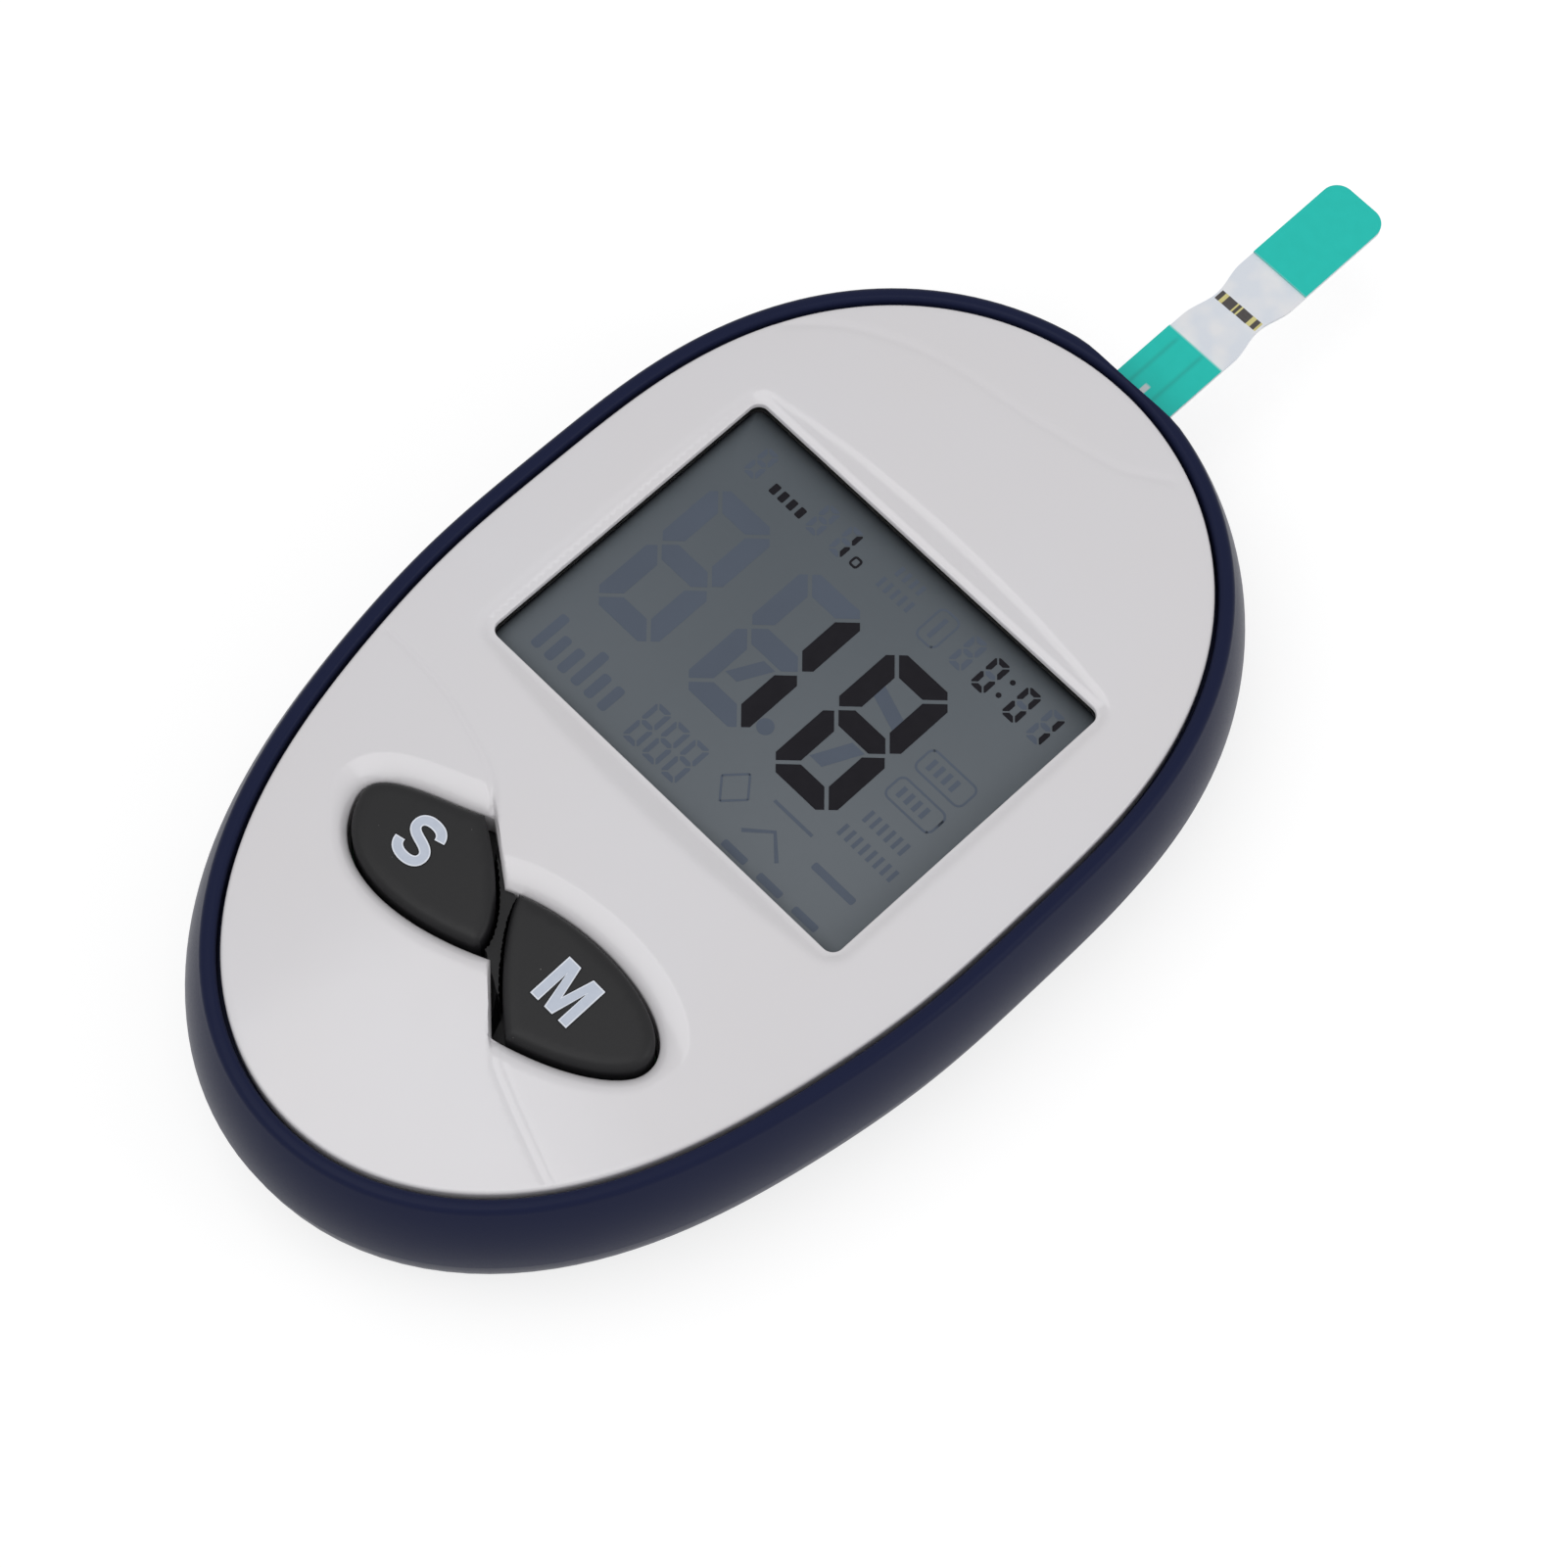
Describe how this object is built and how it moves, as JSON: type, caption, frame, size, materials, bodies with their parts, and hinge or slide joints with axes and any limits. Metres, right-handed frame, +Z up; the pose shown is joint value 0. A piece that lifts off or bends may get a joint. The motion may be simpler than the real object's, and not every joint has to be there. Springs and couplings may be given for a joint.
{
  "type": "blood glucose meter",
  "caption": "Egg-shaped hand-held blood glucose meter with a sunk display, petal buttons, a sliding battery door in its back and a test strip in its port.",
  "frame": {"origin": "on the plain flat of the rear case that the meter rests on, on its centre line, midway between the battery door and the strip's end", "axes": "+X across the meter to the right as seen from the display, +Y along it towards the test strip, +Z up from the back to the display"},
  "size_m": [0.0614, 0.127, 0.0207],
  "materials": {
    "white_cover": "gloss white moulded plastic",
    "navy_housing": "satin dark navy moulded plastic",
    "black_rubber": "satin black silicone rubber",
    "clear_window": "clear flat window",
    "display_glass": "grey-green display glass with dark segments",
    "black_plastic": "black moulded plastic",
    "carbon_rubber": "striped carbon rubber",
    "board": "green circuit board",
    "nickel_steel": "nickel-plated steel",
    "gold_contact": "gold-plated spring metal",
    "cell_can": "printed cell can",
    "strip_white": "white plastic film with printed electrodes",
    "strip_teal": "teal plastic film"
  },
  "bodies": {
    "meter": {"front_cover": "white_cover", "upper_housing": "navy_housing", "rear_case": "navy_housing", "display_window": "clear_window", "display_gasket": "black_plastic", "lcd_panel": "display_glass", "lcd_frame": "black_plastic", "elastomer_connector_upper": "carbon_rubber", "elastomer_connector_lower": "carbon_rubber", "keypad_mat": "black_rubber", "set_switch_dome": "nickel_steel", "memory_switch_dome": "nickel_steel", "main_board": "board", "strip_connector": "black_plastic", "strip_contact_1": "gold_contact", "strip_contact_2": "gold_contact", "strip_contact_3": "gold_contact", "controller_chip": "black_plastic", "memory_chip": "black_plastic", "quartz_crystal": "nickel_steel", "buzzer": "black_plastic", "battery_1": "cell_can", "battery_2": "cell_can", "battery_contact_positive": "nickel_steel", "battery_contact_negative": "nickel_steel", "battery_contact_link": "nickel_steel", "battery_spring_1": "nickel_steel", "battery_spring_2": "nickel_steel", "case_screw_1": "nickel_steel", "case_screw_2": "nickel_steel", "case_screw_3": "nickel_steel", "case_screw_4": "nickel_steel"},
    "set_button": {"set_button": "black_rubber"},
    "memory_button": {"memory_button": "black_rubber"},
    "battery_door": {"battery_door": "navy_housing"},
    "test_strip": {"strip_base": "strip_white", "strip_lower_film": "strip_teal", "strip_handle_film": "strip_teal"}
  },
  "joints": [
    {"name": "set_button_press", "type": "slide", "parent": "meter", "child": "set_button", "axis": [0, 0, -1], "range_m": [0, 0.0007], "stiffness_N_per_m": 1500},
    {"name": "memory_button_press", "type": "slide", "parent": "meter", "child": "memory_button", "axis": [0, 0, -1], "range_m": [0, 0.0007], "stiffness_N_per_m": 1500},
    {"name": "battery_door_slide", "type": "slide", "parent": "meter", "child": "battery_door", "axis": [0, -1, 0], "range_m": [0, 0.062]},
    {"name": "test_strip_pull", "type": "slide", "parent": "meter", "child": "test_strip", "axis": [0, 1, 0], "range_m": [0, 0.012]}
  ]
}
